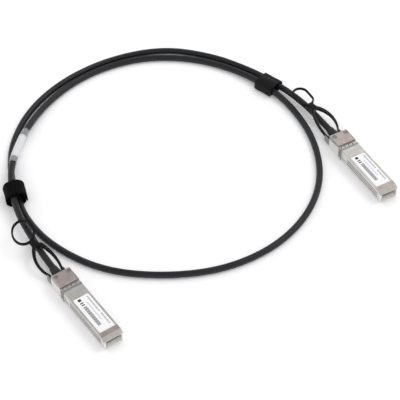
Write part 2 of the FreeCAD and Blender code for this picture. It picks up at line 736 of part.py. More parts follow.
def return_spring(name):
    """Compression spring between the shell and the slider's tang, as a faceted coil."""
    wire = size("spring_wire")
    radius = (size("spring_diameter") - wire) / 2
    axis = size("channel_depth") + size("spring_diameter") / 2 + size("fit_gap")
    steps = int(size("spring_turns") * COIL_STEPS)
    pitch = (size("spring_length") - wire) / steps
    rings = []
    for step in range(steps + 1):
        turn = 2 * math.pi * step / COIL_STEPS
        out = V(0, math.cos(turn), math.sin(turn))
        centre = V(size("spring_start") + wire / 2 + step * pitch, 0, axis) + out * radius
        corners = [2 * math.pi * side / WIRE_SIDES for side in range(WIRE_SIDES)]
        rings.append([centre + out * (math.cos(a) * wire / 2) + V(math.sin(a) * wire / 2, 0, 0)
                      for a in corners])
    facets = [rings[0], rings[-1]]
    for ring, following in zip(rings, rings[1:]):
        for side in range(WIRE_SIDES):
            after = (side + 1) % WIRE_SIDES
            facets.append([ring[side], following[side], following[after]])
            facets.append([ring[side], following[after], ring[after]])
    faces = [Part.Face(Part.makePolygon(facet + facet[:1])) for facet in facets]
    coil = Part.Solid(Part.Shell(faces))
    if coil.Volume < 0:
        coil.reverse()
    return finished(name, coil)


def arm_outline(sign, lean):
    """Plan of one arm of the pull tab, from its eyelet to the neck."""
    width = size("arm_width")
    inside = size("arm_inner")
    outside = inside + size("tab_width")
    end = -(size("lug_gap") + size("lug_length"))
    neck = -size("neck_x")
    half_neck = size("neck_width") / 2
    bulge = size("arm_bulge")
    middle = -size("arm_bulge_x")
    outer = Part.Arc(V(end, sign * outside, 0), V(middle, sign * bulge + lean, 0),
                     V(neck, sign * half_neck, 0)).toShape()
    inner = Part.Arc(V(neck + width, sign * (half_neck - width), 0),
                     V(middle, sign * (bulge - width) + lean, 0),
                     V(end, sign * inside, 0)).toShape()
    hub = -size("pin_back")
    corners = [V(end, sign * inside, 0), V(hub, sign * inside, 0), V(hub, sign * outside, 0),
               V(end, sign * outside, 0)]
    close = Part.LineSegment(outer.lastVertex().Point, inner.firstVertex().Point).toShape()
    straight = [Part.LineSegment(a, b).toShape() for a, b in zip(corners, corners[1:])]
    return Part.Face(Part.Wire([outer, close, inner] + straight))


def oval(centre, length, width):
    """A flat oval with half-round ends, its length along x."""
    half = width / 2
    reach = length / 2 - half
    far, close = centre - V(reach, 0, 0), centre + V(reach, 0, 0)
    return Part.Face(Part.Wire([
        Part.LineSegment(far + V(0, half, 0), close + V(0, half, 0)).toShape(),
        Part.Arc(close + V(0, half, 0), close + V(half, 0, 0), close - V(0, half, 0)).toShape(),
        Part.LineSegment(close - V(0, half, 0), far - V(0, half, 0)).toShape(),
        Part.Arc(far - V(0, half, 0), far - V(half, 0, 0), far + V(0, half, 0)).toShape()]))


def round_ring(centre, length, width):
    """A flat ellipse, its length along x."""
    return Part.Face(Part.Wire([Part.Ellipse(centre, length / 2, width / 2).toShape()]))


# the finger ring is flexible: one lies open and round, the other drawn out along its cable
RING_FORM = {"plug_a_": round_ring, "plug_b_": oval}


def pull_tab(name):
    """Moulded pull tab: two arms from the slider's lugs, a neck and a finger ring.

    Its plan outline is cut out of a bent band that is level with the lugs at one end and
    passes over the cable at the other.
    """
    own = name[:7]
    lean = size(own + "arm_lean")
    offset = size(own + "ring_offset")
    neck = size("neck_x")
    ring_start = neck + size("neck_length")
    length = size(own + "ring_length")
    width = size(own + "ring_width")
    centre = V(-(ring_start + size(own + "ring_centre")), offset, 0)
    form = RING_FORM[own]
    band = size("ring_band")
    thick = size("tab_thickness")
    high = size("tab_height")
    hole = form(centre, length - 2 * band, width - 2 * band)
    hole.rotate(centre, V(0, 0, 1), size(own + "ring_turn"))
    ring = form(centre, length, width)
    ring.rotate(centre, V(0, 0, 1), size(own + "ring_turn"))
    ring = ring.cut(hole)
    # the neck narrows from the arms to a waist and widens again into the ring
    half_neck = size("neck_width") / 2
    waist = size("neck_waist") / 2
    into = -(ring_start + length / 8)
    waist_x = -(neck + size("neck_length") / 2)
    left = Part.Arc(V(-neck, half_neck, 0), V(waist_x, waist + offset / 2, 0),
                    V(into, half_neck + offset, 0)).toShape()
    right = Part.Arc(V(into, offset - half_neck, 0), V(waist_x, offset / 2 - waist, 0),
                     V(-neck, -half_neck, 0)).toShape()
    # a rounded crotch carries the neck into both arms
    root = V(-neck + 1.55 * size("arm_width"), half_neck - 0.55 * size("arm_width"), 0)
    crotch = Part.Arc(V(root.x, -root.y, 0), V(-neck + size("arm_width") / 2, 0, 0),
                      root).toShape()
    link = Part.Face(Part.Wire([
        left, Part.LineSegment(left.lastVertex().Point, right.firstVertex().Point).toShape(),
        right, Part.LineSegment(right.lastVertex().Point, crotch.firstVertex().Point).toShape(),
        crotch, Part.LineSegment(root, left.firstVertex().Point).toShape()]))
    rise = size(own + "ring_rise")
    tall = V(0, 0, high + thick + rise + 1)
    plan = ring.extrude(tall).multiFuse(
        [link.extrude(tall).cut(hole.extrude(tall)), arm_outline(1, lean).extrude(tall),
         arm_outline(-1, lean).extrude(tall)])
    # side view of the band: from the lugs up to the neck, then gently up along the ring
    low_end = size("pin_height") - thick / 2
    middle = -size("arm_bulge_x")
    mean = (low_end + high) / 2
    end = 1.0 - size("pin_back")
    tip = -(ring_start + size(own + "ring_centre") + length / 2 + band)
    under = Part.Arc(V(end, 0, low_end), V(middle, 0, mean), V(-neck, 0, high)).toShape()
    over = Part.Arc(V(-neck, 0, high + thick), V(middle, 0, mean + thick),
                    V(end, 0, low_end + thick)).toShape()
    edge = [V(-neck, 0, high), V(tip, 0, high + rise), V(tip, 0, high + rise + thick),
            V(-neck, 0, high + thick)]
    side = Part.Face(Part.Wire(
        [under] + [Part.LineSegment(a, b).toShape() for a, b in zip(edge, edge[1:])]
        + [over, Part.LineSegment(V(end, 0, low_end + thick), V(end, 0, low_end)).toShape()]))
    wide = 4 * size("arm_bulge")
    tab = plan.common(side.extrude(V(0, wide, 0)).translated(V(0, -wide / 2, 0)))
    # eyelets on the slider's pins
    inner = size("arm_inner")
    discs = []
    holes = []
    for sign in (1, -1):
        base = V(-size("pin_back"), sign * inner, size("pin_height"))
        discs.append(Part.makeCylinder(size("eyelet_diameter") / 2, size("tab_width"), base,
                                       V(0, sign, 0)))
        holes.append(Part.makeCylinder((size("pin_diameter") + size("fit_gap")) / 2,
                                       4 * size("tab_width"),
                                       base - V(0, sign * size("tab_width"), 0), V(0, sign, 0)))
    tab = tab.multiFuse(discs).removeSplitter()
    for opening in holes:
        tab = tab.cut(opening)
    return finished(name, tab)


def product_label(name):
    """Label in the recess of the cover."""
    body = new_body(name)
    block(body, name + "_sheet", "recess_start + label_margin",
          f"-({RECESS_HALF} - label_margin)", f"{RECESS_END} - label_margin",
          f"{RECESS_HALF} - label_margin", f"{BODY_TOP} - recess_depth",
          f"{BODY_TOP} - recess_depth + label_thickness")
    return body


def rounded_section(width, height, radius, low):
    """A rounded rectangle in the plane x = 0, standing on height low."""
    half = width / 2
    top = low + height
    radius = min(radius, half - 0.01, height / 2 - 0.01)
    centres = [(half - radius, low + radius, -45), (half - radius, top - radius, 45),
               (radius - half, top - radius, 135), (radius - half, low + radius, 225)]
    arcs = []
    for across, up, angle in centres:
        points = [V(0, across + radius * math.cos(math.radians(angle + turn)),
                    up + radius * math.sin(math.radians(angle + turn)))
                  for turn in (-45, 0, 45)]
        arcs.append(Part.Arc(*points).toShape())
    edges = []
    for arc, following in zip(arcs, arcs[1:] + arcs[:1]):
        edges.append(arc)
        edges.append(Part.LineSegment(arc.lastVertex().Point,
                                      following.firstVertex().Point).toShape())
    return Part.Face(Part.Wire(edges))


def cable_tie(name, prefix):
    """Hook-and-loop wrap round both strands, with its tail overlapped on the outside."""
    length = size(prefix + "_length")
    width = size(prefix + "_width")
    height = size(prefix + "_height")
    corner = size(prefix + "_corner")
    sheet_cloth = size("tie_sheet")
    tail = size("tail_sheet")
    along = V(length, 0, 0)
    wrap = rounded_section(width, height, corner, 0)
    room = rounded_section(width - 2 * sheet_cloth, height - 2 * sheet_cloth,
                           corner - sheet_cloth, sheet_cloth)
    band = wrap.extrude(along).cut(room.extrude(along))
    skin = rounded_section(width + 2 * tail, height + 2 * tail, corner + tail, -tail)
    layer = skin.extrude(along).cut(wrap.extrude(along))
    keep = Part.makeBox(length, width, height, V(0, -0.7 * width, 0.42 * height))
    lap = layer.common(keep)
    tie = band.fuse(lap).removeSplitter()
    tie.translate(V(-length / 2, 0, 0))
    item = finished(name, tie)
    place = FreeCAD.Placement(V(size(prefix + "_x"), size(prefix + "_y"), 0),
                              FreeCAD.Rotation(V(0, 0, 1), size(prefix + "_turn")))
    item.Placement = place.multiply(item.Placement)
    return item


def stretch(path, start, end):
    """The part of a path between two distances along it."""
    edges = []
    travelled = 0.0
    for edge in path.Edges:
        low = max(start - travelled, 0.0)
        high = min(end - travelled, edge.Length)
        if high > low:
            edges.append(edge.Curve.toShape(edge.getParameterByLength(low),
                                            edge.getParameterByLength(high)))
        travelled += edge.Length
    return Part.Wire(edges)


def sleeve(name, path, middle, length, outer, inner):
    """A thin tube that follows the cable, centred on a distance along it."""
    run = stretch(path, middle - length / 2, middle + length / 2)
    start = run.Edges[0]
    first = start.FirstParameter
    ends = []
    for diameter in (outer, inner):
        ring = Part.Circle(start.valueAt(first), start.tangentAt(first), diameter / 2)
        ends.append(run.makePipeShell([Part.Wire([ring.toShape()])], True, False))
    return finished(name, ends[0].cut(ends[1]))


def plug_placement(tag):
    """Where a plug lies on the floor, and which way its nose points."""
    return FreeCAD.Placement(V(size(f"plug_{tag}_x"), size(f"plug_{tag}_y"), 0),
                             FreeCAD.Rotation(V(0, 0, 1), size(f"plug_{tag}_turn")))


PLUG_PIECES = [
    ("lower_shell", lower_shell), ("top_cover", top_cover), ("cover_rivets", cover_rivets),
    ("emi_collar", emi_collar), ("paddle_card", paddle_card), ("contact_pads", contact_pads),
    ("memory_chip", memory_chip), ("core_wires", core_wires), ("crimp_ferrule", crimp_ferrule),
    ("strain_relief", strain_relief), ("latch_slider", latch_slider),
    ("return_spring", return_spring), ("pull_tab", pull_tab), ("product_label", product_label),
]

pieces = []
for tag in ("a", "b"):
    placement = plug_placement(tag)
    for piece_name, make in PLUG_PIECES:
        piece = make(f"plug_{tag}_{piece_name}")
        piece.Placement = placement.multiply(piece.Placement)
        pieces.append(piece)

leads = []
for tag in ("a", "b"):
    place = plug_placement(tag)
    leads.append([place.multVec(V(along, 0, size("cable_axis")))
                  for along in (size("jacket_in_head"), -size("lead_" + tag))])
points = leads[0] + [V(*point) for point in ROUTE] + leads[1][::-1]
jacket, cable_length, radii = tube(points, size("cable_diameter"))
section = math.pi * size("cable_diameter") ** 2 / 4
print(f"cable length {cable_length:.1f} mm, volume ratio "
      f"{jacket.Volume / (section * cable_length):.5f}")
print("cable radii", " ".join(f"{radius:.0f}" for radius in radii))
pieces.append(finished("cable_jacket", jacket))
pieces.append(cable_tie("left_tie", "left_tie"))
pieces.append(cable_tie("right_tie", "right_tie"))
path = rounded_path(points, ARC_SHARE)[0]
middle = size("sleeve_start") + size("sleeve_length") / 2
outer_bore = size("sleeve_diameter") - 2 * size("sleeve_wall")
paper = outer_bore - size("fit_gap")
pieces.append(sleeve("label_sleeve", path, middle, size("sleeve_length"),
                     size("sleeve_diameter"), outer_bore))
pieces.append(sleeve("cable_label", path, middle, size("paper_length"), paper,
                     paper - 2 * size("paper_wall")))

doc.recompute()
for item in doc.Objects:
    if "Invalid" in item.State or "Error" in item.State:
        raise RuntimeError(f"{item.Name} failed to build: {item.State}")
for piece in pieces:
    if piece.Shape.isNull() or not piece.Shape.isValid():
        raise RuntimeError(f"{piece.Label} has no valid shape")

os.makedirs("parts", exist_ok=True)
for piece in pieces:
    piece.Shape.exportStep(os.path.join("parts", piece.Label + ".step"))
print(f"{len(pieces)} parts written")
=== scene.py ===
"""Dresses the direct attach copper cable: a short cable tied in a loop, with a
pluggable metal end and a black pull tab on each side."""

import json
import math

import bmesh
import bpy
from mathutils import Matrix, Vector, noise


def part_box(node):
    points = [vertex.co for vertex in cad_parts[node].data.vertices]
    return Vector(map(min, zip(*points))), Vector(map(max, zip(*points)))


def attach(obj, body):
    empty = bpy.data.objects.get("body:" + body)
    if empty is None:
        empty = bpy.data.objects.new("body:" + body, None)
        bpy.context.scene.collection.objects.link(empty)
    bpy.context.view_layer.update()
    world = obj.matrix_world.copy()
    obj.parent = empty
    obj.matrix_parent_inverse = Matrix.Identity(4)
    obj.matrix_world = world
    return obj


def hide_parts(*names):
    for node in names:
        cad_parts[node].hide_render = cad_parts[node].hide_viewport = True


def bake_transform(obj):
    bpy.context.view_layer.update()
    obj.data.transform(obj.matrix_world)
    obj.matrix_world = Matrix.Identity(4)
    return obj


bl_info = {
    "name": "Tied Copper Cable",
    "version": (1, 0, 0),
    "blender": (4, 5, 0),
    "location": "3D View > Sidebar > Cable",
    "description": "Builds and finishes a tied direct attach copper cable on its CAD frame",
    "category": "Object",
}

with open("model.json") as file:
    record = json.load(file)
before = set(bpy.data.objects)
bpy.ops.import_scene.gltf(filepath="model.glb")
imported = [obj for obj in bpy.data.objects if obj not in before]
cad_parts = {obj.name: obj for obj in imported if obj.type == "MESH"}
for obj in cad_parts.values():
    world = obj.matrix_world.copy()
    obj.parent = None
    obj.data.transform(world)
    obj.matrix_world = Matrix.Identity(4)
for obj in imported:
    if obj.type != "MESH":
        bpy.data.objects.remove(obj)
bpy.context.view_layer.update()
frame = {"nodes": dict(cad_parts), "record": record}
NODES = frame["nodes"]
ROOT = "cable_and_plugs"
PLUG_TAGS = ("a", "b")

# Lengths are in metres, and places along a plug are from its rear face.
PLUG_LENGTH = 0.0606
# Where the head ends, where the band at the nose and its sloping lip start, and
# the length over which the cover's finish changes there.
HEAD_END = 0.0116
NOSE_BAND = 0.0540
NOSE_LIP = 0.0580
FINISH_EDGE = 0.0003

# The clear sleeve's length, and the paper label's length, radius and wall.
SLEEVE_LENGTH = 0.036
PAPER_LENGTH = 0.026
PAPER_RADIUS = 0.0026
PAPER_WALL = 0.0002

# The points that steer the cable between the plugs' straight leads, once and a
# half round the loop.
CABLE_ROUTE = (
    (-0.1109, -0.0258, 0.0050), (-0.1215, -0.0064, 0.0069), (-0.1276, 0.0146, 0.0083),
    (-0.1299, 0.0378, 0.0082), (-0.1224, 0.0792, 0.0037), (-0.1058, 0.1108, 0.0023),
    (-0.0816, 0.1348, 0.0022), (-0.0491, 0.1495, 0.0022), (-0.0151, 0.1502, 0.0022),
    (0.0154, 0.1400, 0.0023), (0.0407, 0.1206, 0.0039), (0.0602, 0.0976, 0.0023),
    (0.0736, 0.0648, 0.0022), (0.0760, 0.0288, 0.0022), (0.0647, -0.0042, 0.0022),
    (0.0416, -0.0317, 0.0022), (0.0089, -0.0495, 0.0022), (-0.0291, -0.0545, 0.0022),
    (-0.0661, -0.0494, 0.0022), (-0.0970, -0.0307, 0.0022), (-0.1158, -0.0084, 0.0023),
    (-0.1243, 0.0124, 0.0041), (-0.1309, 0.0368, 0.0023), (-0.1317, 0.0648, 0.0022),
    (-0.1218, 0.0973, 0.0022), (-0.1005, 0.1260, 0.0022), (-0.0696, 0.1481, 0.0022),
    (-0.0316, 0.1595, 0.0022), (0.0032, 0.1519, 0.0022), (0.0282, 0.1381, 0.0025),
    (0.0464, 0.1226, 0.0043), (0.0642, 0.1051, 0.0040),
)
# The cable's height where it enters a plug, how far it goes into the head, and
# how long its straight lead behind each plug is.
CABLE_AXIS = 0.0046
IN_HEAD = 0.0065
LEADS = {"a": 0.0150, "b": 0.0190}

# Each tie: where it sits, its turn about Z in degrees, its length along the
# cable, its outer width and height, its outer corner radius and its gloss.
TIES = {
    "left": (Vector((-0.1255, 0.0132, 0.0)), 105.0, 0.0126, 0.0136, 0.0115, 0.0052, 0.12),
    "right": (Vector((0.0436, 0.1205, 0.0)), -40.0, 0.0140, 0.0134, 0.0075, 0.0034, 0.3),
}
# Where a tie's strip starts, as a share of half its flat top, how far the lapped
# layer rises, as a share of the cloth, how far the loose end stands off, and the
# size of the lumps in the cloth.
TIE_START = 0.6
TIE_RISE = 0.98
TIE_STAND_OFF = 0.00008
TIE_LUMP = 0.0045

# Vertices of a CAD mesh closer than this are one, and edges that turn by fewer
# degrees than the second are flat. Edges sharper than the third are rounded.
WELD = 2e-6
FLAT_ANGLE = 0.6
ROUNDED_ANGLE = 40.0

# The floor's half width, and how far it lies below the part.
FLOOR_HALF = 4.0
FLOOR_DROP = 0.00005
# The sky's level in reflections, at the horizon and overhead.
MIRRORED_SKY = (0.95, 0.55)
# Where the soft sun stands, and how many degrees wide it is.
KEY_FROM = Vector((0.95, 0.5, 1.6))
KEY_WIDTH = 28.0
# The sheen panel's side, its place and what it faces.
PANEL_SIDE = 0.35
PANEL_AT = Vector((0.32, 0.62, 0.6))
PANEL_AIM = Vector((0.08, 0.02, 0.0))
# The camera's lens and sensor in millimetres, its reach, place and aim.
LENS = 136.8
SENSOR = 36.0
REACH = 20.0
CAMERA_AT = Vector((-0.0046, -0.6662, 0.7282))
CAMERA_AIM = Vector((-0.0046, 0.0128, 0.0))


# ------------------------------------------------------------------ helpers


def linear(code):
    """Turns an sRGB hex colour such as "#c8c4bf" into linear RGBA."""
    parts = [int(code[i : i + 2], 16) / 255 for i in (1, 3, 5)]
    return tuple(
        p / 12.92 if p <= 0.04045 else ((p + 0.055) / 1.055) ** 2.4 for p in parts
    ) + (1.0,)


def per_mm(size):
    """The texture scale, per metre, that repeats every `size` millimetres."""
    return 1000.0 / size


def add(tree, kind, values=None, links=None, **settings):
    """Adds one node: its settings, the values in its sockets and its links."""
    made = tree.nodes.new(kind)
    for key, value in settings.items():
        setattr(made, key, value)
    for key, value in (values or {}).items():
        made.inputs[key].default_value = value
    for key, source in (links or {}).items():
        tree.links.new(source, made.inputs[key])
    return made


def surface(name, values):
    """A new material with a Principled shader, and the two to build on."""
    material = bpy.data.materials.new(name)
    material.use_nodes = True
    tree = material.node_tree
    tree.nodes.clear()
    shader = add(tree, "ShaderNodeBsdfPrincipled", values)
    add(tree, "ShaderNodeOutputMaterial", links={"Surface": shader.outputs["BSDF"]})
    return material, tree, shader


def place(tree, location=(0, 0, 0), turn=0.0, scale=(1, 1, 1)):
    """Object coordinates in a piece's own axes, whose X runs along the piece."""
    coordinates = add(tree, "ShaderNodeTexCoord")
    own = add(
        tree, "ShaderNodeMapping",
        {"Location": location, "Rotation": (0, 0, turn)},
        {"Vector": coordinates.outputs["Object"]}, vector_type="TEXTURE",
    )
    return add(
        tree, "ShaderNodeMapping", {"Scale": scale}, {"Vector": own.outputs["Vector"]}
    ).outputs["Vector"]


def grain(tree, vector, size, detail=2.0, roughness=0.5):
    """Soft noise whose lumps are about `size` millimetres across."""
    return add(
        tree, "ShaderNodeTexNoise",
        {"Scale": per_mm(size), "Detail": detail, "Roughness": roughness},
        {"Vector": vector},
    ).outputs["Fac"]


def tones(tree, factor, dark, light, low=0.35, high=0.65):
    """A blend from a dark to a light tone over part of a factor's range."""
    ramp = add(tree, "ShaderNodeValToRGB", links={"Fac": factor})
    ramp.color_ramp.elements[0].position = low
    ramp.color_ramp.elements[0].color = linear(dark)
    ramp.color_ramp.elements[1].position = high
    ramp.color_ramp.elements[1].color = linear(light)
    return ramp.outputs["Color"]


def blend(tree, factor, under, over):
    """One colour over another by a factor. Each is a socket or a hex colour."""
    made = add(tree, "ShaderNodeMix", links={0: factor}, data_type="RGBA")
    for socket, colour in ((6, under), (7, over)):
        if isinstance(colour, str):
            made.inputs[socket].default_value = linear(colour)
        else:
            tree.links.new(colour, made.inputs[socket])
    return made.outputs[2]


def between(tree, factor, low, high, start=0.3, stop=0.7):
    """Carries a factor's middle range over to the values low to high."""
    return add(
        tree, "ShaderNodeMapRange",
        {"From Min": start, "From Max": stop, "To Min": low, "To Max": high},
        {"Value": factor},
    ).outputs["Result"]


def relief(tree, height, depth_mm, strength=1.0, normal=None):
    """Bump of a known depth in millimetres."""
    links = {"Height": height}
    if normal is not None:
        links["Normal"] = normal
    return add(
        tree, "ShaderNodeBump", {"Strength": strength, "Distance": depth_mm / 1000}, links
    ).outputs["Normal"]


def plug_axes(tag):
    """A plug's own axes in the row frame: X to its nose, Z up, origin at its
    rear face on the floor."""
    mount = next(
        m for m in frame["record"]["mounts"] if m["name"] == f"plug_{tag}_insertion"
    )
    forward = Vector(mount["axis"]).normalized()
    up = Vector((0, 0, 1))
    axes = Matrix((forward, up.cross(forward), up)).transposed().to_4x4()
    origin = Vector(mount["pos_m"]) - forward * PLUG_LENGTH
    origin.z = 0
    axes.translation = origin
    return axes


def plug_turn(tag):
    """A plug's turn about Z in the row frame."""
    return math.atan2(plug_axes(tag)[1][0], plug_axes(tag)[0][0])


def piece(name, bm, materials, body, smooth=None):
    """Makes a finished bmesh a piece that rides on a body."""
    mesh = bpy.data.meshes.new(name)
    bm.to_mesh(mesh)
    bm.free()
    return mesh_piece(name, mesh, materials, body, smooth)


def mesh_piece(name, mesh, materials, body, smooth=None):
    """Makes a mesh a piece that rides on a body, sharp above `smooth` degrees."""
    for material in materials:
        mesh.materials.append(material)
    if smooth is not None:
        mesh.shade_smooth()
        mesh.set_sharp_from_angle(angle=math.radians(smooth))
    made = bpy.data.objects.new(name, mesh)
    bpy.context.scene.collection.objects.link(made)
    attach(made, body)
    return made


def finish_node(name, material):
    """Gives a CAD node that stays in view its material."""
    mesh = NODES[name].data
    mesh.materials.clear()
    mesh.materials.append(material)


def merged_copy(node):
    """A welded copy of a CAD node's mesh, with its flat faces made whole."""
    bm = bmesh.new()
    bm.from_mesh(NODES[node].data)
    bmesh.ops.remove_doubles(bm, verts=bm.verts, dist=WELD)
    bmesh.ops.dissolve_limit(
        bm, angle_limit=math.radians(FLAT_ANGLE), use_dissolve_boundaries=False,
        verts=bm.verts, edges=bm.edges,
    )
    return bm


def soften(bm, width, segments):
    """Rounds every sharp edge."""
    sharp = [
        e for e in bm.edges
        if len(e.link_faces) == 2 and e.calc_face_angle(0.0) > math.radians(ROUNDED_ANGLE)
    ]
    bmesh.ops.bevel(
        bm, geom=sharp, offset=width, offset_type="OFFSET", segments=segments,
        profile=0.5, affect="EDGES", clamp_overlap=True, material=-1,
    )


# ---------------------------------------------------------------- materials


def nickel_plated_zinc(name, tag, tint, rough, ends=None):
    # Die-cast zinc alloy, tumbled and plated with satin nickel: warm grey, a
    # faint orange peel from the casting, a painted highlight that lightens the
    # rounded edges, and painted shade that darkens the grooves and recesses.
    # The head and the nose were buffed again, so they may have a pinker tone.
    material, tree, shader = surface(name, {"Metallic": 1.0})
    axes = plug_axes(tag)
    own = place(tree, axes.translation, plug_turn(tag))
    rounded = add(tree, "ShaderNodeBevel", {"Radius": 0.00016}, samples=4)
    facing = add(tree, "ShaderNodeNewGeometry")
    bent = add(
        tree, "ShaderNodeVectorMath",
        links={0: rounded.outputs["Normal"], 1: facing.outputs["Normal"]},
        operation="DOT_PRODUCT",
    )
    # painted highlight: the colour goes near white where the rounded normal bends at the edges
    edge_highlight_paint = between(tree, bent.outputs["Value"], 1.0, 0.0, 0.90, 0.995)
    cloud = grain(tree, own, 5.0, 3.0)
    body = tones(tree, cloud, tint[0], tint[1])
    if ends:
        along = add(tree, "ShaderNodeSeparateXYZ", links={"Vector": own}).outputs["X"]
        plain, buffed = body, tones(tree, cloud, ends[0], ends[1])
        body = buffed
        for start, over in ((HEAD_END, plain), (NOSE_BAND, buffed), (NOSE_LIP, plain)):
            past = between(tree, along, 0.0, 1.0, start, start + FINISH_EDGE)
            body = blend(tree, past, body, over)
    # painted shade: ambient occlusion darkens the colour in grooves and recesses
    recess_shade_paint = add(
        tree, "ShaderNodeAmbientOcclusion", {"Distance": 0.0012}, samples=8,
        only_local=True,
    ).outputs["AO"]
    shade_painted_body = blend(tree, between(tree, recess_shade_paint, 0.0, 1.0, 0.2, 0.85), "#918d88", body)
    tree.links.new(blend(tree, edge_highlight_paint, shade_painted_body, "#efedea"), shader.inputs["Base Color"])
    peel = grain(tree, own, 0.45, 3.0, 0.6)
    tree.links.new(
        between(tree, grain(tree, own, 2.2, 4.0), rough - 0.05, rough + 0.07),
        shader.inputs["Roughness"],
    )
    tree.links.new(
        relief(tree, peel, 0.006, 0.6, rounded.outputs["Normal"]), shader.inputs["Normal"]
    )
    return material


def stamped_spring_steel(tag):
    # Stainless strip, rolled and stamped: a neutral mid grey, with fine lines
    # along the rolling direction that stretch its highlights.
    material, tree, shader = surface(
        f"stamped_spring_steel_{tag}", {"Metallic": 1.0, "Anisotropic": 0.35}
    )
    axes = plug_axes(tag)
    own = place(tree, axes.translation, plug_turn(tag), (0.08, 1, 1))
    lines = grain(tree, own, 0.12, 2.0)
    tree.links.new(tones(tree, lines, "#8f8f8d", "#adadab"), shader.inputs["Base Color"])
    tree.links.new(between(tree, lines, 0.34, 0.46), shader.inputs["Roughness"])
    tree.links.new(relief(tree, lines, 0.002, 0.5), shader.inputs["Normal"])
    return material


def solder_masked_board(tag):
    # Fibreglass board under olive solder mask: tracks show as paler stripes at
    # the pads' own pitch of 0.8 mm.
    material, tree, shader = surface(
        f"solder_masked_board_{tag}",
        {"IOR": 1.5, "Coat Weight": 0.3, "Coat Roughness": 0.2},
    )
    axes = plug_axes(tag)
    own = place(tree, axes.translation, plug_turn(tag))
    tracks = add(
        tree, "ShaderNodeTexWave",
        {"Scale": per_mm(0.8) / (2 * math.pi), "Distortion": 0.4},
        {"Vector": own}, wave_type="BANDS", bands_direction="Y",
    ).outputs["Fac"]
    tree.links.new(
        tones(tree, tracks, "#4a4526", "#6b6238", 0.4, 0.6), shader.inputs["Base Color"]
    )
    tree.links.new(between(tree, grain(tree, own, 0.6), 0.38, 0.5), shader.inputs["Roughness"])
    tree.links.new(relief(tree, tracks, 0.02, 0.5), shader.inputs["Normal"])
    return material


def flashed_gold():
    # A thin gold flash over nickel on the contact pads.
    material, tree, shader = surface("flashed_gold", {"Metallic": 1.0})
    own = place(tree)
    wipe = grain(tree, own, 0.3, 3.0)
    tree.links.new(tones(tree, wipe, "#cda652", "#e8cd84"), shader.inputs["Base Color"])
    tree.links.new(between(tree, wipe, 0.22, 0.36), shader.inputs["Roughness"])
    return material


def moulded_epoxy():
    # Black epoxy of a chip package: matt, with a fine mould grit of 0.15 mm.
    material, tree, shader = surface("moulded_epoxy", {"IOR": 1.55})
    own = place(tree)
    grit = grain(tree, own, 0.15, 4.0, 0.7)
    tree.links.new(tones(tree, grit, "#141415", "#202022"), shader.inputs["Base Color"])
    tree.links.new(between(tree, grit, 0.55, 0.75), shader.inputs["Roughness"])
    tree.links.new(relief(tree, grit, 0.01), shader.inputs["Normal"])
    return material


def foil_wrapped_core():
    # Aluminised polyester foil wound on each pair, with creases 1 mm apart.
    material, tree, shader = surface("foil_wrapped_core", {"Metallic": 0.9})
    own = place(tree)
    creases = grain(tree, own, 1.0, 5.0, 0.6)
    tree.links.new(tones(tree, creases, "#9fa4ae", "#cfd3da"), shader.inputs["Base Color"])
    tree.links.new(between(tree, creases, 0.25, 0.45), shader.inputs["Roughness"])
    tree.links.new(relief(tree, creases, 0.05), shader.inputs["Normal"])
    return material


def extruded_pvc_jacket(colour):
    # Soft PVC drawn through a die: blue-black and satin, clouded over lengths of
    # 14 mm, with a slightly matt skin of 0.5 mm grain from handling.
    material, tree, shader = surface(
        "extruded_pvc_jacket",
        {"IOR": 1.48, "Specular IOR Level": 0.42, "Sheen Weight": 0.04,
         "Sheen Roughness": 0.4},
    )
    own = place(tree)
    cloud = grain(tree, own, 14.0, 3.0)
    skin = grain(tree, own, 0.5, 4.0, 0.65)
    tree.links.new(tones(tree, cloud, colour[0], colour[1]), shader.inputs["Base Color"])
    tree.links.new(between(tree, skin, 0.36, 0.5), shader.inputs["Roughness"])
    tree.links.new(relief(tree, skin, 0.012, 0.7), shader.inputs["Normal"])
    return material


def moulded_boot_rubber():
    # Thermoplastic rubber of the strain relief: satin black, fine spark-eroded
    # texture of about 0.25 mm.
    material, tree, shader = surface("moulded_boot_rubber", {"IOR": 1.5})
    own = place(tree)
    texture = grain(tree, own, 0.25, 3.0, 0.6)
    tree.links.new(tones(tree, texture, "#0e0e10", "#161618"), shader.inputs["Base Color"])
    tree.links.new(between(tree, texture, 0.45, 0.62), shader.inputs["Roughness"])
    tree.links.new(relief(tree, texture, 0.015), shader.inputs["Normal"])
    return material


def moulded_nylon_tab(colour):
    # Injection-moulded nylon from a smooth tool: deep black, scuffed here and
    # there, with slow sink waves about 6 mm long that bend its highlights.
    material, tree, shader = surface(
        "moulded_nylon_tab",
        {"IOR": 1.5, "Specular IOR Level": 0.2, "Coat Weight": 0.02, "Coat Roughness": 0.15},
    )
    own = place(tree)
    sink = grain(tree, own, 6.0, 2.0)
    scuff = grain(tree, own, 0.8, 5.0, 0.7)
    tree.links.new(tones(tree, sink, colour[0], colour[1]), shader.inputs["Base Color"])
    tree.links.new(between(tree, scuff, 0.2, 0.34, 0.35, 0.75), shader.inputs["Roughness"])
    tree.links.new(relief(tree, sink, 0.12, 0.5), shader.inputs["Normal"])
    return material


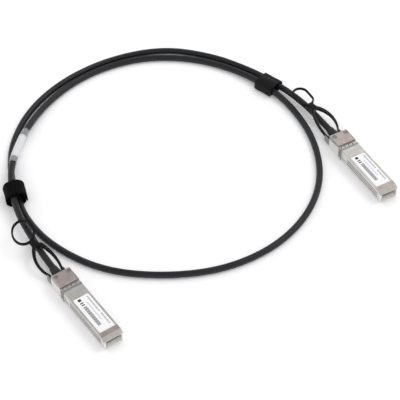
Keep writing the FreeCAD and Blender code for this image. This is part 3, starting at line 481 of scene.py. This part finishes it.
def hook_and_loop_cloth(name, centre, turn, length, colour, gloss):
    # Knitted nylon loop fabric: black pile, matt or somewhat glossy, with loops
    # about 0.3 mm apart, and a flatter selvage 1 mm wide along each long edge.
    material, tree, shader = surface(
        name,
        {"IOR": 1.45, "Specular IOR Level": gloss, "Sheen Weight": 0.02,
         "Sheen Roughness": 0.35},
    )
    own = place(tree, centre, turn)
    loops = add(
        tree, "ShaderNodeTexVoronoi", {"Scale": per_mm(0.32), "Randomness": 0.85},
        {"Vector": own}, feature="F1",
    ).outputs["Distance"]
    across = add(tree, "ShaderNodeSeparateXYZ", links={"Vector": own}).outputs["X"]
    rim = add(tree, "ShaderNodeMath", links={0: across}, operation="ABSOLUTE").outputs["Value"]
    pile = between(tree, rim, 1.0, 0.15, length / 2 - 0.0013, length / 2 - 0.0009)
    high = add(
        tree, "ShaderNodeMath", links={0: loops, 1: pile}, operation="MULTIPLY"
    ).outputs["Value"]
    tree.links.new(
        tones(tree, loops, colour[1], colour[0], 0.1, 0.75), shader.inputs["Base Color"]
    )
    matt = 0.9 - 0.9 * gloss
    tree.links.new(
        between(tree, loops, matt - 0.1, matt + 0.07, 0.1, 0.7), shader.inputs["Roughness"]
    )
    tree.links.new(relief(tree, high, 0.13, 0.8), shader.inputs["Normal"])
    return material


def coated_label_paper(name, dark, light):
    # Coated label stock: white to pale grey, with a faint fibre cloud and a soft
    # gloss.
    material, tree, shader = surface(
        name, {"IOR": 1.48, "Coat Weight": 0.15, "Coat Roughness": 0.3}
    )
    own = place(tree)
    fibre = grain(tree, own, 0.9, 4.0, 0.6)
    tree.links.new(tones(tree, fibre, dark, light), shader.inputs["Base Color"])
    tree.links.new(between(tree, fibre, 0.5, 0.62), shader.inputs["Roughness"])
    tree.links.new(relief(tree, fibre, 0.004), shader.inputs["Normal"])
    return material


def thermal_print(name, dark, light):
    # Thermal transfer ink: flat, with the mottle of a worn print head.
    material, tree, shader = surface(name, {"IOR": 1.5, "Roughness": 0.55})
    own = place(tree)
    mottle = grain(tree, own, 0.35, 3.0)
    tree.links.new(tones(tree, mottle, dark, light), shader.inputs["Base Color"])
    return material


def clear_shrink_film():
    # Clear polyolefin sleeve: nearly invisible, seen by its soft highlights.
    material, tree, shader = surface(
        "clear_shrink_film", {"IOR": 1.5, "Base Color": linear("#f8f9fb"), "Alpha": 0.16}
    )
    own = place(tree)
    wrinkle = grain(tree, own, 3.0, 3.0)
    tree.links.new(between(tree, wrinkle, 0.06, 0.2), shader.inputs["Roughness"])
    tree.links.new(relief(tree, wrinkle, 0.1, 0.5), shader.inputs["Normal"])
    return material


# ------------------------------------------------------------------- pieces


def cable_points():
    """The steering points from inside plug A to the inside of plug B."""
    lead = {
        tag: [plug_axes(tag) @ Vector((x, 0, CABLE_AXIS)) for x in (IN_HEAD, -LEADS[tag])]
        for tag in PLUG_TAGS
    }
    return [*lead["a"], *(Vector(point) for point in CABLE_ROUTE), *reversed(lead["b"])]


def nurbs_cable(name, diameter=0.0):
    """One open NURBS curve through the steering points, bare without a diameter."""
    points = cable_points()
    data = bpy.data.curves.new(name, "CURVE")
    data.dimensions = "3D"
    spline = data.splines.new("NURBS")
    spline.points.add(len(points) - 1)
    for point, steer in zip(spline.points, points):
        point.co = (*steer, 1.0)
    spline.order_u = 3
    spline.use_endpoint_u = True
    spline.resolution_u = 12
    data.resolution_u = 12
    if diameter:
        data.bevel_depth = diameter / 2
        data.bevel_resolution = 5
        data.use_fill_caps = True
    made = bpy.data.objects.new(name, data)
    bpy.context.scene.collection.objects.link(made)
    return made


def cable_line():
    """The points that the cable's own spline runs through, in order."""
    bare = nurbs_cable("bare_line")
    bpy.context.view_layer.update()
    mesh = bpy.data.meshes.new_from_object(bare)
    line = [v.co.copy() for v in mesh.vertices]
    bpy.data.meshes.remove(mesh)
    data = bare.data
    bpy.data.objects.remove(bare)
    bpy.data.curves.remove(data)
    return line


def stretch(line, centre, length):
    """The part of the line within half a length of the point nearest centre, in
    the first half of the cable's run."""
    run = [0.0]
    for a, b in zip(line, line[1:]):
        run.append(run[-1] + (b - a).length)
    nearest = min(range(len(line) // 2), key=lambda i: (line[i] - centre).length)
    return [p for p, s in zip(line, run) if abs(s - run[nearest]) < length / 2]


def tube_on(name, points, radius):
    """A mesh tube of that radius along points of the cable's line."""
    data = bpy.data.curves.new(name, "CURVE")
    data.dimensions = "3D"
    spline = data.splines.new("POLY")
    spline.points.add(len(points) - 1)
    for point, place_at in zip(spline.points, points):
        point.co = (*place_at, 1.0)
    data.bevel_depth = radius
    data.bevel_resolution = 6
    carrier = bpy.data.objects.new(name, data)
    bpy.context.scene.collection.objects.link(carrier)
    bpy.context.view_layer.update()
    mesh = bpy.data.meshes.new_from_object(carrier)
    bpy.data.objects.remove(carrier)
    bpy.data.curves.remove(data)
    mesh.name = name
    return mesh


def thicken(made, wall):
    """Gives a sheet its thickness inwards."""
    solid = made.modifiers.new("wall", "SOLIDIFY")
    solid.thickness = wall
    solid.offset = -1.0


def run_straight(bm, tip, step, count):
    """Draws a straight stretch of a strip's edge in equal steps."""
    for _ in range(count):
        tip = bmesh.ops.extrude_vert_indiv(bm, verts=[tip])["verts"][0]
        bmesh.ops.translate(bm, verts=[tip], vec=step)
    return tip


def run_bend(bm, tip, y, z):
    """Draws a quarter turn of a strip's edge about a centre at y, z."""
    made = bmesh.ops.spin(
        bm, geom=[tip], cent=(0, y, z), axis=(1, 0, 0), dvec=(0, 0, 0),
        angle=math.pi / 2, steps=6, use_duplicate=False, use_merge=False,
    )
    return next(g for g in made["geom_last"] if isinstance(g, bmesh.types.BMVert))


def tie_band(length, width, height, corner, cloth, lap):
    """A cloth strip wound once round the strands and lapped over its own top
    and far side, in the tie's own axes, with X along the cable."""
    bm = bmesh.new()
    half, side, bend = width / 2 - cloth / 2, height / 2 - cloth / 2, corner - cloth / 2
    middle = height / 2
    flat_y, flat_z = half - bend, side - bend
    tip = bm.verts.new((0, flat_y * TIE_START, middle + side))
    # once round: the top, the far side, the underside and the near side
    tip = run_straight(bm, tip, (0, -(1 + TIE_START) * flat_y / 6, 0), 6)
    tip = run_bend(bm, tip, -flat_y, middle + flat_z)
    tip = run_straight(bm, tip, (0, 0, -2 * flat_z / 4), 4)
    tip = run_bend(bm, tip, -flat_y, middle - flat_z)
    tip = run_straight(bm, tip, (0, 2 * flat_y / 6, 0), 6)
    tip = run_bend(bm, tip, flat_y, middle - flat_z)
    tip = run_straight(bm, tip, (0, 0, 2 * flat_z / 4), 4)
    tip = run_bend(bm, tip, flat_y, middle + flat_z)
    # the lap: over the first layer's top, and down its far side
    rise = cloth * TIE_RISE
    tip = run_straight(bm, tip, (0, -flat_y / 2, rise / 2), 4)
    tip.co.y, tip.co.z = -flat_y, middle + side + rise
    tip = run_bend(bm, tip, -flat_y, middle + flat_z)
    run_straight(bm, tip, (0, -TIE_STAND_OFF / 4, -lap / 4), 4)
    bmesh.ops.translate(bm, verts=bm.verts, vec=(-length / 2, 0, 0))
    steps = 12
    edges = list(bm.edges)
    for _ in range(steps):
        made = bmesh.ops.extrude_edge_only(bm, edges=edges)["geom"]
        moved = [g for g in made if isinstance(g, bmesh.types.BMVert)]
        edges = [
            g for g in made
            if isinstance(g, bmesh.types.BMEdge) and all(v in moved for v in g.verts)
        ]
        bmesh.ops.translate(bm, verts=moved, vec=(length / steps, 0, 0))
    bmesh.ops.recalc_face_normals(bm, faces=bm.faces)
    return bm


def rumple(bm, depth, size):
    """Moves each vertex a little along its normal, as cloth under tension is."""
    bm.normal_update()
    for vert in bm.verts:
        lift = noise.noise(vert.co * (1.0 / size)) * depth
        vert.co += vert.normal * lift


def plate(bm, x, y, z, long, wide, high, slot):
    """A thin printed bar, centred at x, y with its underside at z."""
    made = bmesh.ops.create_cube(bm, size=1.0)["verts"]
    bmesh.ops.scale(bm, vec=(long, wide, high), verts=made)
    bmesh.ops.translate(bm, vec=(x, y, z + high / 2), verts=made)
    for face in {f for v in made for f in v.link_faces}:
        face.material_index = slot


def print_row(bm, z, high, slot, start, pitch, count, y, long, wide, every=0, other=0.0,
              gap=()):
    """A row of plain bars from X start on, where one in `every` has another length
    and those in the gap are left out."""
    for i in range(count):
        if i not in gap:
            size = other if every and i % every == 0 else long
            plate(bm, start + i * pitch, y, z, size, wide, high, slot)


def aimed(scene, name, data, location, aim):
    """Stands a lamp or a camera at a place, facing its aim."""
    made = bpy.data.objects.new(name, data)
    scene.collection.objects.link(made)
    made.location = location
    made.rotation_euler = (aim - made.location).to_track_quat("-Z", "Y").to_euler()
    return made


def lay_floor(scene, stage):
    """A pale floor, whose glow shows to the camera and in the metal but adds no
    diffuse light."""
    bm = bmesh.new()
    bmesh.ops.create_grid(bm, x_segments=2, y_segments=2, size=FLOOR_HALF)
    mesh = bpy.data.meshes.new("pale_floor")
    bm.to_mesh(mesh)
    bm.free()
    mesh.transform(Matrix.Translation((0, 0, -FLOOR_DROP)))
    floor = bpy.data.objects.new("pale_floor", mesh)
    scene.collection.objects.link(floor)
    material, tree, shader = surface(
        "pale_floor_paper",
        {"Base Color": (*stage.floor, 1), "Roughness": 0.9, "Specular IOR Level": 0.1,
         "Emission Color": (1, 1, 1, 1)},
    )
    rays = add(tree, "ShaderNodeLightPath")
    glow = between(tree, rays.outputs["Is Diffuse Ray"], stage.glow, 0.0, 0.0, 1.0)
    tree.links.new(glow, shader.inputs["Emission Strength"])
    mesh.materials.append(material)


def hang_sky(scene, stage):
    """An even sky, white for the camera, and graded where metal mirrors it."""
    world = bpy.data.worlds.new("soft_studio")
    scene.world = world
    world.use_nodes = True
    tree = world.node_tree
    tree.nodes.clear()
    path = add(tree, "ShaderNodeLightPath")
    direction = add(tree, "ShaderNodeTexCoord")
    height = add(
        tree, "ShaderNodeSeparateXYZ", links={"Vector": direction.outputs["Generated"]}
    )
    graded = between(tree, height.outputs["Z"], *MIRRORED_SKY, 0.0, 1.0)
    mirrored = add(
        tree, "ShaderNodeMapRange", {"To Min": stage.sky},
        {"Value": path.outputs["Is Glossy Ray"], "To Max": graded},
    )
    seen = add(
        tree, "ShaderNodeMapRange", {"To Max": 1.0},
        {"Value": path.outputs["Is Camera Ray"], "To Min": mirrored.outputs["Result"]},
    )
    sky = add(
        tree, "ShaderNodeBackground", {"Color": (1, 1, 1, 1)},
        {"Strength": seen.outputs["Result"]},
    )
    add(tree, "ShaderNodeOutputWorld", links={"Surface": sky.outputs["Background"]})


def hang_lamps(scene, stage):
    """A wide soft sun, and a small panel for the metal to mirror."""
    key = bpy.data.lights.new("soft_key", "SUN")
    key.energy = stage.key
    key.angle = math.radians(KEY_WIDTH)
    lamp = bpy.data.objects.new("soft_key", key)
    scene.collection.objects.link(lamp)
    lamp.rotation_euler = KEY_FROM.to_track_quat("Z", "Y").to_euler()
    panel = bpy.data.lights.new("sheen_panel", "AREA")
    panel.energy = stage.sheen
    panel.size = PANEL_SIDE
    aimed(scene, "sheen_panel", panel, PANEL_AT, PANEL_AIM)


# --------------------------------------------------------------- properties


class CableSettings(bpy.types.PropertyGroup):
    cable_diameter: bpy.props.FloatProperty(
        name="Cable diameter", description="Outside diameter of the jacket",
        default=0.0044, min=0.001, unit="LENGTH",
    )
    sleeve_wall: bpy.props.FloatProperty(
        name="Sleeve wall", description="Thickness of the clear sleeve's film",
        default=0.0002, min=0.00005, unit="LENGTH",
    )
    sleeve_diameter: bpy.props.FloatProperty(
        name="Sleeve diameter", description="Outside diameter of the clear sleeve",
        default=0.0057, min=0.002, unit="LENGTH",
    )


class TieSettings(bpy.types.PropertyGroup):
    cloth: bpy.props.FloatProperty(
        name="Cloth", description="Thickness of the hook-and-loop strip",
        default=0.0008, min=0.0002, unit="LENGTH",
    )
    lap: bpy.props.FloatProperty(
        name="Lap", description="How far the strip's end runs down its side",
        default=0.003, min=0.0, unit="LENGTH",
    )
    rumple: bpy.props.FloatProperty(
        name="Rumple", description="Height of the cloth's unevenness",
        default=0.00022, min=0.0, unit="LENGTH",
    )


class PlugSettings(bpy.types.PropertyGroup):
    tab_edge: bpy.props.FloatProperty(
        name="Tab edge", description="Radius of the pull tab's moulded edges",
        default=0.00032, min=0.0, unit="LENGTH",
    )
    boot_edge: bpy.props.FloatProperty(
        name="Boot edge", description="Radius of the strain relief's edges",
        default=0.00015, min=0.0, unit="LENGTH",
    )
    print_height: bpy.props.FloatProperty(
        name="Print height", description="Thickness of the ink on a label",
        default=0.00002, min=0.000005, unit="LENGTH",
    )


class StageSettings(bpy.types.PropertyGroup):
    sky: bpy.props.FloatProperty(
        name="Sky", description="Strength of the even light from all round",
        default=0.87, min=0.0,
    )
    key: bpy.props.FloatProperty(
        name="Key", description="Strength of the soft lamp behind and to the right",
        default=0.5, min=0.0,
    )
    sheen: bpy.props.FloatProperty(
        name="Sheen panel", description="Power of the panel that the metal reflects",
        default=0.25, min=0.0, subtype="POWER",
    )
    floor: bpy.props.FloatVectorProperty(
        name="Floor", description="Colour of the floor",
        default=(0.96, 0.96, 0.97), size=3, subtype="COLOR",
    )
    glow: bpy.props.FloatProperty(
        name="Floor glow", description="White added to the floor where it is seen or mirrored",
        default=0.1, min=0.0,
    )


# ---------------------------------------------------------------- operators


class CABLE_OT_lay_cable(bpy.types.Operator):
    """Lays the jacketed cable along its route"""

    bl_idname = "tied_cable.lay_cable"
    bl_label = "Lay Cable"

    def execute(self, context):
        sizes = context.scene.tied_cable
        cable = nurbs_cable("cable", sizes.cable_diameter)
        cable.data.materials.append(extruded_pvc_jacket(("#0d0d11", "#16161b")))
        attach(cable, ROOT)
        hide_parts("cable_jacket")
        return {"FINISHED"}


class CABLE_OT_wrap_label(bpy.types.Operator):
    """Wraps the paper label and its clear sleeve round the cable"""

    bl_idname = "tied_cable.wrap_label"
    bl_label = "Wrap Cable Label"

    def execute(self, context):
        sizes = context.scene.tied_cable
        line = cable_line()
        low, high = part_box("label_sleeve")
        centre = (low + high) / 2
        covered = stretch(line, centre, SLEEVE_LENGTH)
        film = mesh_piece(
            "clear_sleeve", tube_on("clear_sleeve", covered, sizes.sleeve_diameter / 2),
            [clear_shrink_film()], ROOT, smooth=40,
        )
        thicken(film, sizes.sleeve_wall)
        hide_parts("label_sleeve")
        stock = coated_label_paper("cable_label_paper", "#dadade", "#e6e6e9")
        paper = mesh_piece(
            "cable_paper",
            tube_on("cable_paper", stretch(line, centre, PAPER_LENGTH), PAPER_RADIUS),
            [stock], ROOT, smooth=40,
        )
        thicken(paper, PAPER_WALL)
        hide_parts("cable_label")
        return {"FINISHED"}


class CABLE_OT_wind_ties(bpy.types.Operator):
    """Winds the two hook-and-loop ties round the strands"""

    bl_idname = "tied_cable.wind_ties"
    bl_label = "Wind Ties"

    def execute(self, context):
        sizes = context.scene.cable_ties
        for side, (centre, turn, length, width, height, corner, gloss) in TIES.items():
            bm = tie_band(length, width, height, corner, sizes.cloth, sizes.lap)
            rumple(bm, sizes.rumple, TIE_LUMP)
            # the cloth's middle stays half its thickness above the floor
            for vert in bm.verts:
                vert.co.z = max(vert.co.z, sizes.cloth / 2)
            turned = Matrix.Translation(centre) @ Matrix.Rotation(math.radians(turn), 4, "Z")
            bmesh.ops.transform(bm, matrix=turned, verts=bm.verts)
            cloth = hook_and_loop_cloth(
                f"hook_and_loop_cloth_{side}", centre, math.radians(turn), length,
                ("#030303", "#09090a"), gloss,
            )
            tie = piece(f"{side}_tie_cloth", bm, [cloth], ROOT, smooth=60)
            solid = tie.modifiers.new("cloth", "SOLIDIFY")
            solid.thickness = sizes.cloth
            solid.offset = 0.0
            rim = tie.modifiers.new("rim", "BEVEL")
            rim.width = sizes.cloth * 0.3
            rim.segments = 2
            rim.limit_method = "ANGLE"
            rim.angle_limit = math.radians(55)
            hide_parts(f"{side}_tie")
        return {"FINISHED"}


class CABLE_OT_finish_metal(bpy.types.Operator):
    """Finishes the die-cast shells, covers, collars, latches and springs"""

    bl_idname = "tied_cable.finish_metal"
    bl_label = "Finish Metal"

    def execute(self, context):
        for tag in PLUG_TAGS:
            shell = nickel_plated_zinc(
                f"nickel_plated_zinc_shell_{tag}", tag, ("#e4e2df", "#f0eeeb"), rough=0.30
            )
            cover = nickel_plated_zinc(
                f"nickel_plated_zinc_cover_{tag}", tag, ("#c3c0bb", "#d3d0cb"), rough=0.34,
                ends=("#b1a5a1", "#c3b7b3"),
            )
            rivet = nickel_plated_zinc(
                f"nickel_plated_zinc_rivet_{tag}", tag, ("#8d8782", "#a19a95"), rough=0.4
            )
            steel = stamped_spring_steel(tag)
            finish_node(f"plug_{tag}_lower_shell", shell)
            finish_node(f"plug_{tag}_top_cover", cover)
            finish_node(f"plug_{tag}_cover_rivets", rivet)
            for name in ("emi_collar", "latch_slider", "crimp_ferrule"):
                finish_node(f"plug_{tag}_{name}", steel)
            # a copy of the return spring takes the steel finish in its place
            coil = bpy.data.objects.new(
                f"plug_{tag}_coiled_spring", NODES[f"plug_{tag}_return_spring"].data.copy()
            )
            coil.data.materials.clear()
            coil.data.materials.append(steel)
            context.scene.collection.objects.link(coil)
            axes = plug_axes(tag)
            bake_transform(coil)
            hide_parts(f"plug_{tag}_return_spring")
        return {"FINISHED"}


class CABLE_OT_finish_card(bpy.types.Operator):
    """Finishes the paddle card, its contact pads, chip and wires"""

    bl_idname = "tied_cable.finish_card"
    bl_label = "Finish Card"

    def execute(self, context):
        gold, epoxy, foil = flashed_gold(), moulded_epoxy(), foil_wrapped_core()
        for tag in PLUG_TAGS:
            finish_node(f"plug_{tag}_paddle_card", solder_masked_board(tag))
            finish_node(f"plug_{tag}_contact_pads", gold)
            finish_node(f"plug_{tag}_memory_chip", epoxy)
            finish_node(f"plug_{tag}_core_wires", foil)
        return {"FINISHED"}


class CABLE_OT_mould_tabs(bpy.types.Operator):
    """Rounds and finishes the pull tabs and the strain reliefs"""

    bl_idname = "tied_cable.mould_tabs"
    bl_label = "Mould Tabs"

    def execute(self, context):
        sizes = context.scene.cable_plugs
        nylon = moulded_nylon_tab(("#040405", "#08080a"))
        rubber = moulded_boot_rubber()
        for tag in PLUG_TAGS:
            bm = merged_copy(f"plug_{tag}_pull_tab")
            soften(bm, sizes.tab_edge, 3)
            tab = piece(
                f"plug_{tag}_moulded_tab", bm, [nylon], f"latch_{tag}",
                smooth=30,
            )
            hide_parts(f"plug_{tag}_pull_tab")
            bm = merged_copy(f"plug_{tag}_strain_relief")
            soften(bm, sizes.boot_edge, 2)
            boot = piece(
                f"plug_{tag}_moulded_boot", bm, [rubber], ROOT, smooth=30
            )
            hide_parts(f"plug_{tag}_strain_relief")
        return {"FINISHED"}


class CABLE_OT_print_labels(bpy.types.Operator):
    """Finishes the plugs' paper labels and prints plain bars on them"""

    bl_idname = "tied_cable.print_labels"
    bl_label = "Print Labels"

    def execute(self, context):
        sizes = context.scene.cable_plugs
        paper = coated_label_paper("plug_label_paper", "#f4f4f4", "#fbfbfb")
        grey = thermal_print("grey_thermal_print", "#6f7076", "#85868c")
        dark = thermal_print("dark_thermal_print", "#2a2a2e", "#3a3a3f")
        faint = thermal_print("faint_lavender_print", "#a9a5cc", "#c0bdda")
        for tag in PLUG_TAGS:
            finish_node(f"plug_{tag}_product_label", paper)
            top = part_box(f"plug_{tag}_product_label")[1].z
            bm = bmesh.new()
            thin = sizes.print_height
            # a plain square and two plain blocks, each with its length and width
            for x, long, wide in (
                (0.0260, 0.0021, 0.0021), (0.0286, 0.0009, 0.0023), (0.0303, 0.0009, 0.0023)
            ):
                plate(bm, x, -0.0021, top, long, wide, thin, 1)
            # a comb of plain bars, a row of small marks and a faint middle row
            print_row(
                bm, top, thin, 0, start=0.0322, pitch=0.00064, count=27, y=-0.0020,
                long=0.0004, wide=0.0024, every=3, other=0.00056,
            )
            print_row(
                bm, top, thin, 0, start=0.0256, pitch=0.00077, count=34, y=0.0036,
                long=0.00046, wide=0.0009, every=4, other=0.0003, gap=(19, 20),
            )
            print_row(
                bm, top, thin, 2, start=0.0300, pitch=0.0009, count=18, y=0.0011,
                long=0.0006, wide=0.0006,
            )
            bmesh.ops.transform(bm, matrix=plug_axes(tag), verts=bm.verts)
            piece(f"plug_{tag}_label_print", bm, [grey, dark, faint], ROOT)
        return {"FINISHED"}


class CABLE_OT_set_stage(bpy.types.Operator):
    """Sets the pale floor, the soft lights and the camera"""

    bl_idname = "tied_cable.set_stage"
    bl_label = "Set Stage"

    def execute(self, context):
        scene = context.scene
        stage = scene.cable_stage
        scene.view_settings.view_transform = "Standard"
        lay_floor(scene, stage)
        hang_sky(scene, stage)
        hang_lamps(scene, stage)
        camera = bpy.data.cameras.new("view")
        camera.lens = LENS
        camera.sensor_width = SENSOR
        camera.clip_end = REACH
        scene.camera = aimed(scene, "view", camera, CAMERA_AT, CAMERA_AIM)
        return {"FINISHED"}


class CABLE_OT_declare(bpy.types.Operator):
    bl_idname = "tied_cable.declare"
    bl_label = "Declare Cable"

    def execute(self, context):
        line = cable_line()
        tuple(plug_axes("a") @ Vector((0, 0, CABLE_AXIS)))
        return {"FINISHED"}


STEPS = (
    CABLE_OT_set_stage, CABLE_OT_lay_cable, CABLE_OT_wrap_label, CABLE_OT_wind_ties,
    CABLE_OT_finish_metal, CABLE_OT_finish_card, CABLE_OT_mould_tabs, CABLE_OT_print_labels,
    CABLE_OT_declare,
)


class CABLE_PT_panel(bpy.types.Panel):
    """Lists the cable's steps and sizes"""

    bl_label = "Tied Cable"
    bl_idname = "CABLE_PT_panel"
    bl_space_type = "VIEW_3D"
    bl_region_type = "UI"
    bl_category = "Cable"

    def draw(self, context):
        for step in STEPS:
            self.layout.operator(step.bl_idname)
        for group in ("tied_cable", "cable_ties", "cable_plugs", "cable_stage"):
            settings = getattr(context.scene, group)
            box = self.layout.box()
            for name in settings.__annotations__:
                box.prop(settings, name)


GROUPS = (
    ("tied_cable", CableSettings), ("cable_ties", TieSettings),
    ("cable_plugs", PlugSettings), ("cable_stage", StageSettings),
)


def register():
    for name, group in GROUPS:
        bpy.utils.register_class(group)
        setattr(bpy.types.Scene, name, bpy.props.PointerProperty(type=group))
    for item in (*STEPS, CABLE_PT_panel):
        bpy.utils.register_class(item)


def unregister():
    for item in reversed((*STEPS, CABLE_PT_panel)):
        bpy.utils.unregister_class(item)
    for name, group in reversed(GROUPS):
        delattr(bpy.types.Scene, name)
        bpy.utils.unregister_class(group)


def main():
    register()
    bpy.ops.tied_cable.set_stage()
    bpy.ops.tied_cable.lay_cable()
    bpy.ops.tied_cable.wrap_label()
    bpy.ops.tied_cable.wind_ties()
    bpy.ops.tied_cable.finish_metal()
    bpy.ops.tied_cable.finish_card()
    bpy.ops.tied_cable.mould_tabs()
    bpy.ops.tied_cable.print_labels()
    bpy.ops.tied_cable.declare()


if __name__ == "__main__":
    main()
